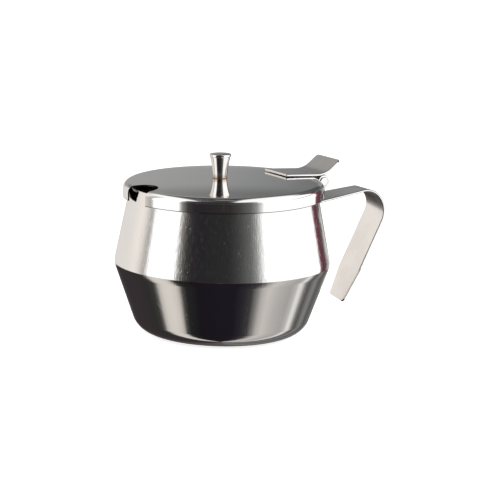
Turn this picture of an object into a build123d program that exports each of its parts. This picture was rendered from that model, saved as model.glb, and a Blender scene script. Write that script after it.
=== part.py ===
from build123d import *
from math import cos, radians, sin, sqrt, tan
import os

# Stainless steel sugar bowl with a hinged lid and an open strap handle. Millimetres, +Z up.
# The origin is the centre of the flat base. The handle and the hinge are on the +X side, and
# the spoon notch in the lid is opposite them, on the -X side. The hinge pin runs along Y.

# Bowl
SHEET = 0.8  # thickness of the bowl's and the lid's sheet
BASE_RADIUS = 42.5  # corner of the base before rounding
BASE_ROUND = 11.2
SHOULDER_RADIUS = 55.2  # corner of the shoulder before rounding
SHOULDER_HEIGHT = 35.6
SHOULDER_ROUND = 8.8
RIM_RADIUS = 47.4
RIM_HEIGHT = 75.0
RIM_ROUND = 0.3

# Lid. Its heights and the knob's and lever's are given level. The closed lid then tips a little.
LID_RADIUS = 51.1
LID_EDGE = 77.75  # height at which the domed top would meet the skirt's outside
LID_DOME = 2.0  # rise of the top from there to its middle
LID_SKIRT = 7.2  # depth of the skirt below that height
LID_ROUND = 3.4  # outer rounding of the lid's edge
NOTCH_WIDTH = 17.8
NOTCH_DEPTH = 11.9  # from the lid's edge to the notch's deepest point
LID_TIP = 0.7  # degrees about the hinge pin, by which the closed lid hangs lower at the notch

# Knob
KNOB_X = -2.3  # it stands a little towards the notch
KNOB_FOOT_RADIUS = 3.5
KNOB_FOOT = 0.6  # height of the straight foot
KNOB_WAIST_RADIUS = 4.2  # halfway up
KNOB_NECK_RADIUS = 5.2  # under the lip
KNOB_TOP_RADIUS = 5.5
KNOB_HEIGHT = 12.25  # to the edge of the top
KNOB_LIP = 1.3  # height of the lip at the top
KNOB_LIP_ROUND = 0.5
KNOB_DOME = 0.5  # rise of the top face
KNOB_WELD = 0.3  # leg of the weld fillet round the foot

# Strip for the handle and the thumb lever
STRIP = 1.2  # thickness
STRIP_CORNER = 1.8  # rounding of the strips' free ends
EDGE_ROUND = 0.3  # rounding of the strips' long edges

# Thumb lever, along X
LEVER_WIDTH = 21.0
LEVER_START = 31.0
LEVER_TIP = 64.3
LEVER_BEND = 55.0  # where the two straight runs of its underside would meet
LEVER_BEND_RADIUS = 14.0
LEVER_FALL = 3.8  # degrees, of the run that follows the domed lid
LEVER_ANGLE = 37.3  # degrees, of the thumb rest
LEVER_GAP = 0.3  # between the lid and the lever's inner end
NUGGET_RADIUS = 1.2
NUGGET_MIDDLE = 39.0
NUGGET_SPACING = (8.0, 10.0)

# Hinge
PIN_X = 55.3
PIN_Z = 74.6
PIN_RADIUS = 1.8
PIN_HEAD_RADIUS = 2.3
PIN_HEAD = 0.5
PIN_CLEARANCE = 0.05  # radial, between the pin and the eyes
EYE_STRIP = 1.55  # thickness of the strip that the eyes are curled from
HINGE_WIDTH = 17.0  # over the bracket's two eyes
MIDDLE_EYE = 6.4  # width of the lever's eye
EYE_GAP = 0.3  # between neighbouring eyes
BRACKET_FOOT = 2.2  # reach of the bracket's foot towards the bowl

# Handle, along X. It is bent by hand, so its front edge (-Y) and its back edge (+Y) differ. Each
# edge is given on the middle of the strip's thickness: the corner where its two straight runs
# would meet, the rise of the upper run in degrees and the bend's radius.
HANDLE_WIDTH = 17.6
FRONT_EDGE = {"corner": (103.9, 71.1), "rise": 8.1, "bend_radius": 12.0}
BACK_EDGE = {"corner": (101.9, 68.6), "rise": 5.1, "bend_radius": 9.1}
HANDLE_LEAN = 27.5  # degrees from vertical, of the lower run
HANDLE_TAPER = 20.0  # length over which the lower run narrows to its end
HANDLE_END_Z = 8.6
HANDLE_END_WIDTH = 12.4
HANDLE_END_SKEW = 1.7  # by which the end's back corner is higher along the strip
HANDLE_FOOT = 13.0  # height of the foot that lies on the bowl


wall_slope = (SHOULDER_RADIUS - RIM_RADIUS) / (RIM_HEIGHT - SHOULDER_HEIGHT)
lid_crown = LID_EDGE + LID_DOME
lid_curve = (LID_RADIUS**2 + LID_DOME**2) / (2 * LID_DOME)
fall_slope = tan(radians(LEVER_FALL))
lean_slope = tan(radians(HANDLE_LEAN))


def bowl_radius(height):
    """Outer radius of the bowl's upper cone at a height."""
    return RIM_RADIUS + (RIM_HEIGHT - height) * wall_slope


def lid_height(distance):
    """Height of the lid's domed top at a distance from its axis."""
    return lid_crown - lid_curve + sqrt(lid_curve**2 - distance**2)


def lever_height(x):
    """Height of the underside of the lever's lower run at a distance from the bowl's axis."""
    return lid_height(LEVER_START) + LEVER_GAP - (x - LEVER_START) * fall_slope


def edge_height(edge, x):
    """Height of the upper run of one of the handle's edges at a distance from the bowl's axis."""
    corner_x, corner_z = edge["corner"]
    return corner_z - (corner_x - x) * tan(radians(edge["rise"]))


def run_height(x):
    """Height of the handle's upper run, halfway across the strip."""
    return (edge_height(FRONT_EDGE, x) + edge_height(BACK_EDGE, x)) / 2


def lower_run_x(edge, height):
    """Distance from the bowl's axis of the lower run of one of the handle's edges."""
    corner_x, corner_z = edge["corner"]
    return corner_x - (corner_z - height) * lean_slope


# Bowl: one sheet, drawn and spun, open at the rim
with BuildPart() as bowl_body:
    with BuildSketch(Plane.XZ):
        with BuildLine():
            FilletPolyline(
                (0, 0),
                (BASE_RADIUS, 0),
                (SHOULDER_RADIUS, SHOULDER_HEIGHT),
                (RIM_RADIUS, RIM_HEIGHT),
                radius=(BASE_ROUND, SHOULDER_ROUND),
            )
            offset(amount=SHEET, side=Side.LEFT)
        make_face()
    revolve(axis=Axis.Z)
    fillet(bowl_body.edges().group_by(Axis.Z)[-1], RIM_ROUND)
bowl_body.part.label = "bowl_body"

# The room that the bowl takes up, used to fit the handle's foot to its wall
with BuildPart() as bowl_room:
    with BuildSketch(Plane.XZ):
        with BuildLine():
            Polyline(
                (0, 0),
                (SHOULDER_RADIUS, 0),
                (SHOULDER_RADIUS, SHOULDER_HEIGHT),
                (RIM_RADIUS, RIM_HEIGHT),
                (0, RIM_HEIGHT),
                close=True,
            )
        make_face()
    revolve(axis=Axis.Z)

# Lid: a slightly domed disc whose skirt hangs round the rim, cut away for the spoon
notch_radius = NOTCH_WIDTH / 2
notch_middle = LID_RADIUS - NOTCH_DEPTH + notch_radius
with BuildPart() as lid:
    with BuildSketch(Plane.XZ):
        with BuildLine() as lid_outside:
            RadiusArc((0, lid_crown), (LID_RADIUS, LID_EDGE), lid_curve)
            Line((LID_RADIUS, LID_EDGE), (LID_RADIUS, LID_EDGE - LID_SKIRT))
            lid_corner = lid_outside.vertices().sort_by(Axis.X)[-2:].sort_by(Axis.Y)[-1]
            fillet(lid_corner, LID_ROUND)
            offset(amount=SHEET, side=Side.RIGHT)
        make_face()
    revolve(axis=Axis.Z)
    with BuildSketch(Plane.XY.offset(lid_crown)):
        with Locations((-notch_middle, 0)):
            Circle(notch_radius)
        with Locations((-notch_middle - NOTCH_WIDTH / 2, 0)):
            Rectangle(NOTCH_WIDTH, NOTCH_WIDTH)
    extrude(amount=-LID_DOME - LID_SKIRT, mode=Mode.SUBTRACT)
lid.part.label = "lid"

# Knob: turned from bar, waisted at the foot, with a lip and a slightly domed top
knob_place = Plane(origin=(KNOB_X, 0, lid_crown), x_dir=(1, 0, 0), z_dir=(0, -1, 0))
knob_axis = Axis((KNOB_X, 0, 0), (0, 0, 1))
with BuildPart() as lid_knob:
    with BuildSketch(knob_place):
        with BuildLine():
            Polyline((0, -SHEET / 2), (KNOB_FOOT_RADIUS, -SHEET / 2), (KNOB_FOOT_RADIUS, KNOB_FOOT))
            ThreePointArc(
                (KNOB_FOOT_RADIUS, KNOB_FOOT),
                (KNOB_WAIST_RADIUS, KNOB_HEIGHT / 2),
                (KNOB_NECK_RADIUS, KNOB_HEIGHT - KNOB_LIP),
            )
            Polyline(
                (KNOB_NECK_RADIUS, KNOB_HEIGHT - KNOB_LIP),
                (KNOB_TOP_RADIUS, KNOB_HEIGHT - KNOB_LIP + (KNOB_TOP_RADIUS - KNOB_NECK_RADIUS)),
                (KNOB_TOP_RADIUS, KNOB_HEIGHT),
            )
            ThreePointArc(
                (KNOB_TOP_RADIUS, KNOB_HEIGHT),
                (KNOB_TOP_RADIUS / 2, KNOB_HEIGHT + KNOB_DOME * 3 / 4),
                (0, KNOB_HEIGHT + KNOB_DOME),
            )
            Line((0, KNOB_HEIGHT + KNOB_DOME), (0, -SHEET / 2))
        make_face()
    revolve(axis=knob_axis)
    fillet(lid_knob.faces().sort_by(Axis.Z)[-1].edges().sort_by(SortBy.LENGTH)[-1], KNOB_LIP_ROUND)
    add(lid.part, mode=Mode.SUBTRACT)
lid_knob.part.label = "lid_knob"

# Weld fillet round the knob's foot
weld_radius = KNOB_FOOT_RADIUS + KNOB_WELD
with BuildPart() as knob_weld:
    with BuildSketch(knob_place):
        with BuildLine():
            Polyline(
                (KNOB_FOOT_RADIUS, KNOB_WELD),
                (KNOB_FOOT_RADIUS, -SHEET / 2),
                (weld_radius, -SHEET / 2),
                (weld_radius, 0),
            )
            RadiusArc((weld_radius, 0), (KNOB_FOOT_RADIUS, KNOB_WELD), KNOB_WELD)
        make_face()
    revolve(axis=knob_axis)
    add(lid.part, mode=Mode.SUBTRACT)
knob_weld.part.label = "knob_weld"

# Thumb lever: follows the lid, then bent up behind the hinge
lever_tip_height = lever_height(LEVER_BEND) + (LEVER_TIP - LEVER_BEND) * tan(radians(LEVER_ANGLE))
with BuildLine() as lever_underside:
    FilletPolyline(
        (LEVER_START, lever_height(LEVER_START)),
        (LEVER_BEND, lever_height(LEVER_BEND)),
        (LEVER_TIP, lever_tip_height),
        radius=LEVER_BEND_RADIUS,
    )
with BuildPart() as thumb_lever:
    with BuildSketch(Plane.XZ):
        with BuildLine():
            add(lever_underside.line)
            offset(amount=STRIP, side=Side.LEFT)
        make_face()
    extrude(amount=LEVER_WIDTH / 2, both=True)
    thumb_end = thumb_lever.faces().sort_by(Axis.X)[-1]
    fillet(thumb_end.edges().filter_by(Axis.Y, reverse=True), STRIP_CORNER)
    fillet(thumb_lever.edges(), EDGE_ROUND)
thumb_lever.part.label = "thumb_lever"

# Weld nuggets between the lever and the lid
nugget_bottom = lid_height(NUGGET_MIDDLE) - SHEET / 2
nugget_top = lever_height(NUGGET_MIDDLE) + STRIP / 2
with BuildPart() as lever_spot_welds:
    with BuildSketch(Plane.XY.offset(nugget_bottom)):
        with Locations((NUGGET_MIDDLE, 0)):
            with GridLocations(*NUGGET_SPACING, 2, 2):
                Circle(NUGGET_RADIUS)
    extrude(amount=nugget_top - nugget_bottom)
    add(lid.part, mode=Mode.SUBTRACT)
    add(thumb_lever.part, mode=Mode.SUBTRACT)
lever_spot_welds.part.label = "lever_spot_welds"

# Lever's eye: a ring round the pin on a web that is welded under the lever
eye_bore = PIN_RADIUS + PIN_CLEARANCE
eye_radius = eye_bore + EYE_STRIP
with BuildPart() as lever_eye:
    with BuildSketch(Plane.XZ):
        with Locations((PIN_X, PIN_Z)):
            Circle(eye_radius)
        with Locations((PIN_X, PIN_Z + eye_radius)):
            Rectangle(2 * eye_radius, 2 * eye_radius)
        with BuildLine():
            add(lever_underside.line)
            Polyline(
                (LEVER_TIP, lever_tip_height),
                (LEVER_START, lever_tip_height),
                (LEVER_START, lever_height(LEVER_START)),
            )
        make_face(mode=Mode.SUBTRACT)
        with Locations((PIN_X, PIN_Z)):
            Circle(eye_bore, mode=Mode.SUBTRACT)
    extrude(amount=MIDDLE_EYE / 2, both=True)
lever_eye.part.label = "lever_eye"

# Handle: a foot that follows the bowl's wall, the upper run, the bend and the tapered lower run
foot_top = run_height(RIM_RADIUS)
foot_bottom = foot_top - HANDLE_FOOT
run_start = bowl_radius(foot_top) - STRIP
handle_end_x = (lower_run_x(FRONT_EDGE, HANDLE_END_Z) + lower_run_x(BACK_EDGE, HANDLE_END_Z)) / 2
lower_run = Plane(
    origin=(handle_end_x, 0, HANDLE_END_Z),
    x_dir=(0, 1, 0),
    z_dir=(cos(radians(HANDLE_LEAN)), 0, -sin(radians(HANDLE_LEAN))),
)
handle_side = HANDLE_WIDTH / 2
handle_sections = (
    (FRONT_EDGE, handle_side, STRIP - 2 * EDGE_ROUND),
    (FRONT_EDGE, handle_side - EDGE_ROUND, STRIP),
    (BACK_EDGE, EDGE_ROUND - handle_side, STRIP),
    (BACK_EDGE, -handle_side, STRIP - 2 * EDGE_ROUND),
)
with BuildPart() as handle_strap:
    with BuildSketch(Plane.XZ):
        with BuildLine():
            Polyline(
                (bowl_radius(foot_top), foot_top),
                (bowl_radius(foot_bottom), foot_bottom),
                (bowl_radius(foot_bottom) + STRIP, foot_bottom),
                (bowl_radius(foot_top) + STRIP, foot_top),
                close=True,
            )
        make_face()
    revolve(axis=Axis.Z)
    with BuildSketch(Plane.XY.offset(foot_bottom)):
        with Locations((SHOULDER_RADIUS, 0)):
            Rectangle(SHOULDER_RADIUS, HANDLE_WIDTH)
    extrude(amount=HANDLE_FOOT, mode=Mode.INTERSECT)
    for edge, side, thickness in handle_sections:
        with BuildSketch(Plane.XZ.offset(side)):
            with BuildLine():
                FilletPolyline(
                    (run_start, edge_height(edge, run_start)),
                    edge["corner"],
                    (lower_run_x(edge, 0), 0),
                    radius=edge["bend_radius"],
                )
            trace(line_width=thickness)
    loft(ruled=True)
    add(bowl_room.part, mode=Mode.SUBTRACT)
    with BuildSketch(lower_run):
        Rectangle(2 * HANDLE_WIDTH, 2 * HANDLE_TAPER)
        with BuildLine():
            FilletPolyline(
                (-HANDLE_WIDTH / 2, HANDLE_TAPER),
                (-HANDLE_END_WIDTH / 2, 0),
                (HANDLE_END_WIDTH / 2, HANDLE_END_SKEW),
                (HANDLE_WIDTH / 2, HANDLE_TAPER),
                radius=STRIP_CORNER,
            )
            Line((HANDLE_WIDTH / 2, HANDLE_TAPER), (-HANDLE_WIDTH / 2, HANDLE_TAPER))
        make_face(mode=Mode.SUBTRACT)
    extrude(amount=2 * STRIP, both=True, mode=Mode.SUBTRACT)
handle_strap.part.label = "handle_strap"

# Hinge bracket: two eyes curled from a leaf that stands on the handle behind the lid's skirt
leaf_inside = PIN_X - eye_radius
leaf_outside = leaf_inside + EYE_STRIP
leaf_foot = leaf_inside - BRACKET_FOOT
with BuildPart() as hinge_bracket:
    with BuildSketch(Plane.XZ):
        with Locations((PIN_X, PIN_Z)):
            Circle(eye_radius)
        with BuildLine():
            Polyline(
                (leaf_inside, PIN_Z),
                (leaf_outside, PIN_Z),
                (leaf_outside, run_height(leaf_outside)),
                (leaf_foot, run_height(leaf_foot)),
                (leaf_foot, run_height(leaf_foot) + STRIP / 2 + EYE_STRIP),
                (leaf_inside, run_height(leaf_inside) + STRIP / 2 + EYE_STRIP),
                close=True,
            )
        make_face()
        with Locations((PIN_X, PIN_Z)):
            Circle(eye_bore, mode=Mode.SUBTRACT)
    extrude(amount=HINGE_WIDTH / 2, both=True)
    add(handle_strap.part, mode=Mode.SUBTRACT)
    with BuildSketch(Plane.XY.offset(PIN_Z - eye_radius - EYE_GAP)):
        with Locations((PIN_X, 0)):
            Rectangle(4 * eye_radius, MIDDLE_EYE + 2 * EYE_GAP)
    extrude(amount=3 * eye_radius, mode=Mode.SUBTRACT)
    bracket_sides = hinge_bracket.faces().group_by(Axis.Y)
    for side in (bracket_sides[0], bracket_sides[-1]):
        fillet(side.sort_by(Axis.Z)[-1].outer_wire().edges(), EDGE_ROUND)
hinge_bracket.part.label = "hinge_bracket"

# Hinge pin: plain pin with both ends peened over
pin_half = HINGE_WIDTH / 2 + PIN_CLEARANCE
with BuildPart() as hinge_pin:
    with BuildSketch(Plane.XY.offset(PIN_Z)):
        with Locations((PIN_X + PIN_RADIUS / 2, 0)):
            Rectangle(PIN_RADIUS, 2 * pin_half)
        with Locations((PIN_X + PIN_HEAD_RADIUS / 2, 0)):
            with GridLocations(0, 2 * pin_half + PIN_HEAD, 1, 2):
                Rectangle(PIN_HEAD_RADIUS, PIN_HEAD)
    revolve(axis=Axis((PIN_X, 0, PIN_Z), (0, 1, 0)))
    near_rim = hinge_pin.edges().group_by(Axis.Y)[0]
    far_rim = hinge_pin.edges().group_by(Axis.Y)[-1]
    fillet(near_rim + far_rim, PIN_HEAD * 0.6)
hinge_pin.part.label = "hinge_pin"

# The closed lid: it and what is fixed to it tip down at the notch, about the pin
pin_line = Axis((PIN_X, 0, PIN_Z), (0, 1, 0))
for piece in (lid, lid_knob, knob_weld, thumb_lever, lever_spot_welds, lever_eye):
    label = piece.part.label
    piece.part = piece.part.rotate(pin_line, -LID_TIP)
    piece.part.label = label

os.makedirs("parts", exist_ok=True)
export_step(bowl_body.part, "parts/bowl_body.step")
export_step(lid.part, "parts/lid.step")
export_step(lid_knob.part, "parts/lid_knob.step")
export_step(knob_weld.part, "parts/knob_weld.step")
export_step(thumb_lever.part, "parts/thumb_lever.step")
export_step(lever_spot_welds.part, "parts/lever_spot_welds.step")
export_step(lever_eye.part, "parts/lever_eye.step")
export_step(handle_strap.part, "parts/handle_strap.step")
export_step(hinge_bracket.part, "parts/hinge_bracket.step")
export_step(hinge_pin.part, "parts/hinge_pin.step")
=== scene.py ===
"""Looks for the polished steel sugar bowl: materials, studio surroundings and camera.

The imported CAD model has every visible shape, and each of its nodes keeps its mesh. Metres, +Z up.
"""

from math import cos, radians, sin

import bpy
from mathutils import Matrix, Vector


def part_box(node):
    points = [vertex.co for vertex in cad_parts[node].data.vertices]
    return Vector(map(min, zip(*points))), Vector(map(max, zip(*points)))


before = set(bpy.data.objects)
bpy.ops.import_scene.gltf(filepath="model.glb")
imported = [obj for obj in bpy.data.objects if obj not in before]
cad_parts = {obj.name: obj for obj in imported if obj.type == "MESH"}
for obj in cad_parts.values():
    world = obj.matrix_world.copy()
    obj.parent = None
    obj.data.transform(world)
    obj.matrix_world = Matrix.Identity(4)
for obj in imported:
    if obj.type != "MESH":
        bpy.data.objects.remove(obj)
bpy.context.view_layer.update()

# Camera: where it aims, and from where it looks, as seen from above (azimuth from -Y towards -X)
AIM_HEIGHT = 0.0419
AIM_RIGHT = 0.01405  # of the bowl's axis, across the view
VIEW_AZIMUTH = radians(32)
VIEW_ELEVATION = radians(11.53)
VIEW_ROLL = radians(1.41)
VIEW_DISTANCE = 0.9934
SENSOR = 36.0
LENS = 140.16

# The object, where the frame doesn't say it
SHOULDER = 0.0356  # height of the bowl's widest line
SHEET = 0.0008  # thickness of the lid's sheet
LID_TIP = radians(0.7)  # by which the closed lid hangs lower at the notch

FLOOR_SIZE = 12.0
FLOOR_PAINT = 0.9
FLOOR_GLOW = 0.75  # with which the floor comes out as pale as the paper behind it
PAPER_WHITE = 0.93


def add_camera():
    """The camera at the photograph's viewing angle, slightly rolled."""
    turn = Matrix.Rotation(-VIEW_AZIMUTH, 3, "Z")
    right = turn @ Vector((1, 0, 0))
    ahead = turn @ Vector((0, cos(VIEW_ELEVATION), -sin(VIEW_ELEVATION)))
    above = right.cross(ahead)
    rolled_right = cos(VIEW_ROLL) * right + sin(VIEW_ROLL) * above
    rolled_above = cos(VIEW_ROLL) * above - sin(VIEW_ROLL) * right
    place = right * AIM_RIGHT + Vector((0, 0, AIM_HEIGHT)) - ahead * VIEW_DISTANCE
    data = bpy.data.cameras.new("camera")
    data.sensor_width = SENSOR
    data.lens = LENS
    camera = bpy.data.objects.new("camera", data)
    axes = Matrix((rolled_right, rolled_above, -ahead)).transposed()
    camera.matrix_world = Matrix.Translation(place) @ axes.to_4x4()
    bpy.context.scene.collection.objects.link(camera)
    bpy.context.scene.camera = camera


class Nodes:
    """A short way to write a node tree: most of its methods add a node and return its output."""

    def __init__(self, tree):
        self.tree = tree
        tree.nodes.clear()

    def add(self, kind, settings=None, **inputs):
        """Adds any node and returns the node itself. Inputs are by name, with _ for a space."""
        node = self.tree.nodes.new(kind)
        for name, value in (settings or {}).items():
            setattr(node, name, value)
        for name, value in inputs.items():
            self.put(node, name.replace("_", " "), value)
        return node

    def put(self, node, socket, value):
        """Links an output to a socket, or sets it to a number or colour."""
        target = node.inputs[socket]
        if isinstance(value, bpy.types.NodeSocket):
            self.tree.links.new(value, target)
        else:
            target.default_value = value

    def vector(self, operation, first, second=None):
        """Vector maths. Returns the node, as its result is output 0 or "Value"."""
        node = self.add("ShaderNodeVectorMath", {"operation": operation})
        self.put(node, 0, first)
        if second is not None:
            self.put(node, 1, second)
        return node

    def math(self, operation, *values):
        """Maths on one, two or three numbers or outputs."""
        node = self.add("ShaderNodeMath", {"operation": operation})
        for i, value in enumerate(values):
            self.put(node, i, value)
        return node.outputs[0]

    def times(self, first, second):
        return self.math("MULTIPLY", first, second)

    def raised(self, value, mask, amount):
        """The value, raised by this amount where the mask is 1."""
        return self.math("ADD", value, self.times(mask, amount))

    def step(self, value, low, high):
        """0 at low and 1 at high, with a smooth change between. Low may be the larger of the two."""
        node = self.add("ShaderNodeMapRange", {"interpolation_type": "SMOOTHSTEP"}, Value=value)
        self.put(node, "From Min", low)
        self.put(node, "From Max", high)
        return node.outputs[0]

    def mix(self, factor, first, second):
        """The first colour where the factor is 0, the second where it is 1."""
        node = self.add("ShaderNodeMix", {"data_type": "RGBA"})
        self.put(node, 0, factor)
        self.put(node, 6, first)  # A and B of the node's colour sockets
        self.put(node, 7, second)
        return node.outputs[2]

    def ramp(self, value, stops, low, high):
        """A colour ramp over the range low to high, from (value, colour) stops."""
        position = self.math("DIVIDE", self.math("SUBTRACT", value, low), high - low)
        node = self.tree.nodes.new("ShaderNodeValToRGB")
        elements = node.color_ramp.elements
        elements.remove(elements[1])
        for i, (at, colour) in enumerate(stops):
            element = elements[0] if i == 0 else elements.new((at - low) / (high - low))
            element.position = (at - low) / (high - low)
            element.color = (*colour, 1)
        self.put(node, 0, position)
        return node.outputs[0]


def grey(level, warmth=0.0):
    """A neutral colour, or a warm one, where warmth is how much redder than blue it is."""
    return (level * (1 + warmth / 2), level, level * (1 - warmth / 2))


# The studio around the bowl, by azimuth in degrees: 0 is towards the camera, and + is to its right.
# At the horizon: the dark of the room in front, a softbox to the left and one to the right, cloth behind.
HORIZON = (
    (-180, grey(0.60, 0.06)),
    (-155, grey(0.76, 0.09)),
    (-122, grey(0.82, 0.11)),
    (-106, grey(0.90, 0.12)),
    (-99, grey(0.77, 0.12)),
    (-91, grey(0.42, 0.12)),
    (-87, grey(0.60, 0.04)),
    (-85, grey(1.3)),
    (-51, grey(1.3)),
    (-48, grey(0.45, 0.10)),
    (-45, grey(0.20, 0.12)),
    (-40, grey(0.050, 0.14)),
    (-32, (0.026, 0.023, 0.026)),
    (-20, (0.021, 0.020, 0.023)),
    (8, grey(0.028)),
    (19, grey(0.058)),
    (32, grey(0.14)),
    (39, grey(0.32)),
    (45, grey(0.85)),
    (48, grey(1.3)),
    (127.5, grey(1.3)),
    (131, (0.21, 0.085, 0.11)),
    (138, (0.13, 0.040, 0.050)),
    (146, (0.10, 0.075, 0.09)),
    (152, grey(0.35, 0.06)),
    (160, grey(0.62)),
    (166, grey(0.20)),
    (180, grey(0.60, 0.03)),
)
# The same on the table, which is dark and glossy and shows the softboxes dimly. A ramp holds 32 colours.
TABLE = (
    (-180, (0.110, 0.092, 0.094)),
    (-168, (0.095, 0.080, 0.083)),
    (-152, (0.040, 0.033, 0.036)),
    (-120, (0.038, 0.031, 0.034)),
    (-103, grey(0.030, 0.10)),
    (-94, grey(0.045, 0.12)),
    (-90, grey(0.15, 0.12)),
    (-86, grey(0.52, 0.13)),
    (-80, grey(0.68, 0.14)),
    (-70, grey(0.70, 0.14)),
    (-62, grey(0.62, 0.14)),
    (-58, grey(0.46, 0.14)),
    (-54, grey(0.08, 0.12)),
    (-48, grey(0.020)),
    (-30, (0.011, 0.009, 0.013)),
    (20, (0.014, 0.011, 0.017)),
    (32, (0.026, 0.022, 0.030)),
    (43, grey(0.050, 0.04)),
    (50, grey(0.20, 0.08)),
    (58, grey(0.48, 0.12)),
    (66, grey(0.60, 0.12)),
    (78, grey(0.50, 0.09)),
    (97, grey(0.40, 0.07)),
    (105, grey(0.52, 0.06)),
    (110, grey(0.84, 0.06)),
    (114, grey(0.70, 0.06)),
    (119, grey(0.24, 0.05)),
    (125, grey(0.09, 0.04)),
    (137, grey(0.24, 0.04)),
    (147, grey(0.10)),
    (166, grey(0.20)),
    (180, (0.110, 0.092, 0.094)),
)
# The grey cloth behind the bowl, by how far to the right, as the sine of the angle
CLOTH = (
    (-0.50, grey(0.34, 0.08)),
    (-0.09, grey(0.37, 0.01)),
    (-0.03, grey(0.325, 0.0)),
    (0.00, grey(0.285, -0.02)),
    (0.03, grey(0.240, -0.02)),
    (0.06, grey(0.165, -0.03)),
    (0.30, grey(0.13, -0.03)),
)
# Overhead, by how far to the right: the dark of the room between the tops of the softboxes
OVERHEAD = (
    (-1.0, grey(1.3)),
    (-0.46, grey(1.1)),
    (-0.36, grey(0.14, 0.08)),
    (-0.10, grey(0.060, 0.04)),
    (0.08, grey(0.055)),
    (0.15, grey(0.20)),
    (0.22, grey(1.1)),
    (1.0, grey(1.3)),
)
# Where the rest lies, as elevations in degrees. Each pair is where it is absent and where it is full.
OVERHEAD_EDGE = (38, 50)
TABLE_EDGE = (-12.5, -14.5)

LAMP = grey(0.30, 0.08)  # small, straight above
LAMP_EDGE = (82, 85)

CLOTH_FOOT = (-1, 4)
CLOTH_SIDE = (150, 166)  # azimuth to either side, at the horizon
CLOTH_LEAN = 0.6  # degrees by which that side comes forward per degree up
FOLD_FOOT = (13, 18)
FOLD_TOP = (34, 26)
FOLD_SHADE = 0.35

BELT = grey(0.19, 0.02)  # the far wall, seen over the softbox to the right and in front
BELT_FOOT = (13.5, 17)
BELT_TOP = (21.5, 19.5)
BELT_RIGHT = (75, 95)  # azimuth
BELT_FRONT = (50, 35)  # azimuth to either side
BELT_STRENGTH = 0.75
BELT_STRENGTH_IN_FRONT = 0.5  # of that

CLUTTER = (0.16, 0.050, 0.035)  # warm things at the table's edge, in front
CLUTTER_FOOT = (-15.5, -14.0)
CLUTTER_TOP = (-11.5, -13.0)
CLUTTER_SIDE = (30, 10)  # azimuth to either side
CLUTTER_SCALE = 26.0
CLUTTER_LEVEL = (0.44, 0.60)  # of the noise that scatters them


def belt_mask(n, azimuth, aside, elevation):
    """Where the far wall shows: to the right, and more weakly in front."""
    band = n.times(n.step(elevation, *BELT_FOOT), n.step(elevation, *BELT_TOP))
    in_front = n.times(n.step(aside, *BELT_FRONT), BELT_STRENGTH_IN_FRONT)
    reach = n.math("MAXIMUM", n.step(azimuth, *BELT_RIGHT), in_front)
    return n.times(band, n.times(reach, BELT_STRENGTH))


def cloth_mask(n, aside, elevation):
    """Where the cloth behind is. It is wider towards its top."""
    leaning = n.times(n.math("MAXIMUM", elevation, 0.0), CLOTH_LEAN)
    side = n.step(n.math("ADD", aside, leaning), *CLOTH_SIDE)
    return n.times(side, n.step(elevation, *CLOTH_FOOT))


def folded_cloth(n, across, elevation):
    """The cloth's colour, which a fold across it shades."""
    fold = n.times(n.step(elevation, *FOLD_FOOT), n.step(elevation, *FOLD_TOP))
    return n.mix(n.times(fold, FOLD_SHADE), n.ramp(across, CLOTH, -0.5, 0.5), (0, 0, 0, 1))


def clutter_mask(n, direction, aside, elevation):
    """Where things stand at the table's edge, in patches."""
    band = n.times(n.step(elevation, *CLUTTER_FOOT), n.step(elevation, *CLUTTER_TOP))
    band = n.times(band, n.step(aside, *CLUTTER_SIDE))
    patches = n.add("ShaderNodeTexNoise", None, Vector=direction, Scale=CLUTTER_SCALE, Detail=2.0)
    return n.times(band, n.step(patches.outputs[0], *CLUTTER_LEVEL))


def studio_world():
    """The surroundings that the steel reflects; the camera itself sees plain pale paper."""
    world = bpy.data.worlds.new("studio")
    world.use_nodes = True
    bpy.context.scene.world = world
    n = Nodes(world.node_tree)
    seen = n.add("ShaderNodeTexCoord").outputs["Generated"]
    turned = n.add("ShaderNodeVectorRotate", {"rotation_type": "Z_AXIS"}, Vector=seen, Angle=VIEW_AZIMUTH)
    direction = turned.outputs[0]
    across, away, up = n.add("ShaderNodeSeparateXYZ", None, Vector=direction).outputs
    azimuth = n.math("DEGREES", n.math("ARCTAN2", across, n.times(away, -1.0)))
    elevation = n.math("DEGREES", n.math("ARCSINE", up))
    aside = n.math("ABSOLUTE", azimuth)

    colour = n.ramp(azimuth, HORIZON, -180, 180)
    colour = n.mix(belt_mask(n, azimuth, aside, elevation), colour, (*BELT, 1))
    colour = n.mix(cloth_mask(n, aside, elevation), colour, folded_cloth(n, across, elevation))
    colour = n.mix(n.step(elevation, *OVERHEAD_EDGE), colour, n.ramp(across, OVERHEAD, -1, 1))
    colour = n.mix(n.step(elevation, *LAMP_EDGE), colour, (*LAMP, 1))
    colour = n.mix(n.step(elevation, *TABLE_EDGE), colour, n.ramp(azimuth, TABLE, -180, 180))
    colour = n.mix(clutter_mask(n, direction, aside, elevation), colour, (*CLUTTER, 1))

    studio = n.add("ShaderNodeBackground", None, Color=colour, Strength=1.0)
    paper = n.add("ShaderNodeBackground", None, Color=(*grey(PAPER_WHITE), 1), Strength=1.0)
    shown = n.add("ShaderNodeMixShader")
    n.put(shown, 0, n.add("ShaderNodeLightPath").outputs["Is Camera Ray"])
    n.put(shown, 1, studio.outputs[0])
    n.put(shown, 2, paper.outputs[0])
    n.add("ShaderNodeOutputWorld", None, Surface=shown.outputs[0])


def new_material(name):
    """An empty material and the short way to write its nodes."""
    material = bpy.data.materials.new(name)
    material.use_nodes = True
    return material, Nodes(material.node_tree)


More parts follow.
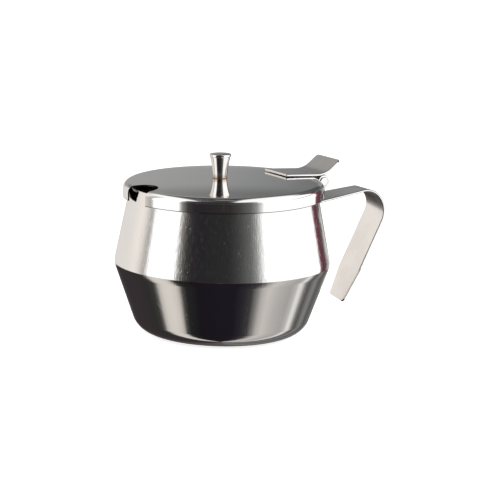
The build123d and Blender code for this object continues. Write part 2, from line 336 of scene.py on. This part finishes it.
def add_floor():
    """A plain pale floor. It isn't seen in the steel, which reflects the studio's dark table."""
    half = FLOOR_SIZE / 2
    corners = [(-half, -half, 0), (half, -half, 0), (half, half, 0), (-half, half, 0)]
    mesh = bpy.data.meshes.new("floor")
    mesh.from_pydata(corners, [], [(0, 1, 2, 3)])
    floor = bpy.data.objects.new("floor", mesh)
    bpy.context.scene.collection.objects.link(floor)
    floor.visible_glossy = False
    material, n = new_material("pale_floor")
    paint = n.add("ShaderNodeBsdfDiffuse", None, Color=(*grey(FLOOR_PAINT), 1))
    glow = n.add("ShaderNodeEmission", None, Color=(1, 1, 1, 1), Strength=FLOOR_GLOW)
    total = n.add("ShaderNodeAddShader")
    n.put(total, 0, paint.outputs[0])
    n.put(total, 1, glow.outputs[0])
    n.add("ShaderNodeOutputMaterial", None, Surface=total.outputs[0])
    mesh.materials.append(material)


# Colours of the metals. Where there are two, noise in the metal goes from the one to the other.
SHEET_STEEL = ((0.845, 0.840, 0.832, 1), (0.875, 0.868, 0.858, 1))
SATIN_STEEL = (0.66, 0.65, 0.635, 1)
SHEET_MARKS = (0.95, 0.95, 0.95, 1)
STRIP_STEEL = ((0.80, 0.79, 0.775, 1), (0.86, 0.85, 0.835, 1))
STRIP_MARKS = (0.93, 0.93, 0.93, 1)
KNOB_STEEL = ((0.85, 0.825, 0.795, 1), (0.88, 0.86, 0.835, 1))
HEAT_TINT = (0.42, 0.27, 0.17, 1)
WELD = ((0.13, 0.08, 0.06, 1), (0.34, 0.23, 0.15, 1))
PAINTED_EDGE_SHADE = (0.060, 0.048, 0.054, 1)  # painted shade: a dark, dull line along the strips' sides and the lid's edges

NOISE_SPAN = (0.35, 0.65)  # the levels of that noise at which each of the two is full


def metal_shader(n, colour, roughness, height, depth):
    """A metal surface with a bump, where depth is the height in metres that the value 1 stands for."""
    bump = n.add("ShaderNodeBump", None, Strength=1.0, Distance=depth, Height=height).outputs[0]
    shader = n.add("ShaderNodeBsdfPrincipled", None, Metallic=1.0, Base_Color=colour, Roughness=roughness)
    n.put(shader, "Normal", bump)
    n.add("ShaderNodeOutputMaterial", None, Surface=shader.outputs[0])


def noise(n, density, detail=2.0, turn=0.0):
    """Noise that changes this often per metre along X, Y and Z. Unequal numbers draw it out into lines."""
    place = n.add("ShaderNodeTexCoord").outputs["Object"]
    if turn:
        turned = n.add("ShaderNodeVectorRotate", {"rotation_type": "Z_AXIS"}, Vector=place, Angle=turn)
        place = turned.outputs[0]
    drawn_out = n.vector("MULTIPLY", place, density).outputs[0]
    return n.add("ShaderNodeTexNoise", None, Vector=drawn_out, Scale=1.0, Detail=detail).outputs[0]


def scratches(n, turn):
    """Fine scattered scratches: 1 on a scratch, 0 beside it. Turn sets which way they run."""
    return n.step(noise(n, (2600.0, 150.0, 150.0), 0.0, turn), 0.77, 0.83)


def specks(n, size, amount):
    """Small scattered spots: 1 on a spot, 0 beside it. Size is in metres, and amount from 0 to 1."""
    density = 1 / size
    return n.step(noise(n, (density, density, density), 0.0), 1 - amount, 1.03 - amount)


def facing(n):
    """Of a surface: its place (x, radius, height), and how far it faces out from the bowl's axis and up."""
    coordinates = n.add("ShaderNodeTexCoord")
    place = coordinates.outputs["Object"]
    normal = coordinates.outputs["Normal"]
    x, _, height = n.add("ShaderNodeSeparateXYZ", None, Vector=place).outputs
    up = n.add("ShaderNodeSeparateXYZ", None, Vector=normal).outputs[2]
    level = n.vector("MULTIPLY", place, (1.0, 1.0, 0.0)).outputs[0]
    radius = n.vector("LENGTH", level).outputs["Value"]
    from_axis = n.vector("NORMALIZE", level).outputs[0]
    outward = n.vector("DOT_PRODUCT", from_axis, normal).outputs["Value"]
    return {"x": x, "radius": radius, "height": height, "outward": outward, "up": up}


def inside_bowl(n, at):
    """The bowl's inner wall faces its axis, and its floor faces up, as the rim does higher up."""
    wall = n.step(at["outward"], -0.05, -0.15)
    floor = n.times(n.step(at["up"], 0.3, 0.5), n.step(at["height"], 0.066, 0.060))
    return n.math("MAXIMUM", wall, floor)


def inside_lid(n, at):
    """The underside of the lid's top."""
    return n.step(at["up"], -0.3, -0.5)


def painted_shade_at_lid_edges(n, at):
    """Painted shade on the notch's raw edge, and a painted shadow line at the lowest line of the skirt,
    which hangs lower at the notch.
    """
    low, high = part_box("lid")
    upright = n.step(n.math("ABSOLUTE", at["up"]), 0.6, 0.45)
    skirt_inside = high[1] - SHEET
    in_top = n.step(at["radius"], skirt_inside - 0.0002, skirt_inside - 0.0006)
    in_skirt = n.step(n.math("ABSOLUTE", at["outward"]), 0.7, 0.55)
    notch = n.times(upright, n.math("MAXIMUM", in_top, in_skirt))
    # Painted shadow: a dark line along the skirt's lowest edge
    skirt_foot = n.math("MULTIPLY_ADD", n.math("SUBTRACT", at["x"], low[0]), sin(LID_TIP), low[2])
    over_foot = n.math("SUBTRACT", at["height"], skirt_foot)
    foot_shadow = n.times(n.step(over_foot, 0.00050, 0.00025), 0.8)
    return n.math("MAXIMUM", notch, foot_shadow)


def sheet_metal(name, lines_per_metre, depth, streaks, inside, edge_shade_painter=None):
    """Polished sheet, with satin on its inner side: fine polish lines, scratches, specks and smudges.

    Depth is that of the polish lines in metres, lines_per_metre is how close they lie along X, Y and Z, and
    streaks is how much rougher the steel is along some of them. Below the shoulder the steel is less worn.
    """
    material, n = new_material(name)
    at = facing(n)
    satin = inside(n, at)
    above_shoulder = n.step(at["height"], SHOULDER - 0.004, SHOULDER + 0.002)
    worn = n.math("MULTIPLY_ADD", above_shoulder, 0.75, 0.25)
    polish = n.times(noise(n, lines_per_metre), worn)
    smudge = noise(n, (38.0, 38.0, 38.0))
    marks = n.math("MAXIMUM", scratches(n, 0.6), scratches(n, 2.3))
    marks = n.math("MAXIMUM", marks, specks(n, 0.0010, 0.22))
    colour = n.mix(n.step(smudge, *NOISE_SPAN), *SHEET_STEEL)
    colour = n.mix(n.times(marks, 0.35), colour, SHEET_MARKS)
    colour = n.mix(satin, colour, SATIN_STEEL)
    roughness = n.math("MULTIPLY_ADD", n.step(smudge, 0.3, 0.7), 0.03, 0.03)
    roughness = n.raised(roughness, n.step(polish, 0.48, 0.68), streaks)
    roughness = n.raised(roughness, marks, 0.14)
    roughness = n.raised(roughness, satin, 0.28)
    # Painted shade along the lid's notch edge and a painted shadow line under its skirt, which are duller
    # too
    if edge_shade_painter:
        edge_shade = edge_shade_painter(n, at)
        colour = n.mix(edge_shade, colour, PAINTED_EDGE_SHADE)
        roughness = n.raised(roughness, edge_shade, 0.30)
    metal_shader(n, colour, roughness, polish, depth)
    return material


def strip_metal(name, lines_per_metre):
    """Ground strip: fine lines along it, scratches, and painted shade: dull dark lines on the corners along
    its two sides.

    Its underside is duller than the rest, because a polishing wheel doesn't reach into the bends.
    """
    material, n = new_material(name)
    grain = noise(n, lines_per_metre, 3.0)
    smudge = noise(n, (70.0, 70.0, 70.0))
    marks = scratches(n, 1.2)
    normal = n.add("ShaderNodeTexCoord").outputs["Normal"]
    _, to_side, up = n.add("ShaderNodeSeparateXYZ", None, Vector=normal).outputs
    sideways = n.math("ABSOLUTE", to_side)
    # Painted shade: dark, duller lines on the rounded corners along the strip's sides
    edge = n.times(n.step(sideways, 0.12, 0.35), n.step(sideways, 0.995, 0.96))
    under = n.times(n.step(up, 0.25, -0.20), n.step(sideways, 0.8, 0.5))
    colour = n.mix(n.step(smudge, *NOISE_SPAN), *STRIP_STEEL)
    colour = n.mix(n.times(marks, 0.4), colour, STRIP_MARKS)
    colour = n.mix(edge, colour, PAINTED_EDGE_SHADE)
    roughness = n.math("MULTIPLY_ADD", grain, 0.12, 0.08)
    roughness = n.raised(roughness, marks, 0.15)
    roughness = n.raised(roughness, edge, 0.20)
    roughness = n.raised(roughness, under, 0.30)
    metal_shader(n, colour, roughness, grain, 3.0e-6)
    return material


def turned_metal(name):
    """Turned and polished bar: rings from the tool, and a heat tint rising from the welded foot."""
    material, n = new_material(name)
    rings = noise(n, (60.0, 60.0, 5200.0))
    smudge = noise(n, (260.0, 260.0, 260.0))
    place = n.add("ShaderNodeTexCoord").outputs["Object"]
    height = n.add("ShaderNodeSeparateXYZ", None, Vector=place).outputs[2]
    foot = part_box("lid_knob")[0][2]
    tint = n.step(height, foot + 0.0030, foot + 0.0005)
    tint = n.times(tint, n.math("MULTIPLY_ADD", smudge, 0.6, 0.4))
    colour = n.mix(n.step(smudge, *NOISE_SPAN), *KNOB_STEEL)
    colour = n.mix(tint, colour, HEAT_TINT)
    roughness = n.math("MULTIPLY_ADD", smudge, 0.05, 0.03)
    metal_shader(n, colour, roughness, rings, 1.0e-6)
    return material


def weld_metal(name):
    """Weld metal: rough, rippled and heat tinted from straw to brown."""
    material, n = new_material(name)
    ripple = noise(n, (900.0, 900.0, 900.0), 4.0)
    colour = n.mix(n.step(ripple, *NOISE_SPAN), *WELD)
    roughness = n.math("MULTIPLY_ADD", ripple, 0.3, 0.25)
    metal_shader(n, colour, roughness, ripple, 3.0e-5)
    return material


def dress(node, material):
    """Gives a CAD node its material."""
    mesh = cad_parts[node].data
    mesh.materials.clear()
    mesh.materials.append(material)


add_camera()
studio_world()
add_floor()

bowl_lines = (1500.0, 1500.0, 26.0)  # they run up the wall
lid_lines = (420.0, 900.0, 900.0)  # they run along X
dress("bowl_body", sheet_metal("bowl_sheet", bowl_lines, 2.0e-5, 0.13, inside_bowl))
# The lid also gets painted shade on its notch edge and a painted shadow line at its skirt's foot
dress("lid", sheet_metal("lid_sheet", lid_lines, 4.0e-6, 0.04, inside_lid, painted_shade_at_lid_edges))
dress("lid_knob", turned_metal("turned_knob"))
# The pin lies along Y: its lines are rings, and the painted shade lines of a strip's sides fall on the rims
# of its ends
dress("hinge_pin", strip_metal("turned_pin", (60.0, 5200.0, 60.0)))
strip = strip_metal("ground_strip", (90.0, 2400.0, 90.0))
for node in ("thumb_lever", "lever_eye", "handle_strap", "hinge_bracket"):
    dress(node, strip)
weld = weld_metal("weld_metal")
for node in ("knob_weld", "lever_spot_welds"):
    dress(node, weld)

bpy.context.scene.view_settings.view_transform = "Standard"
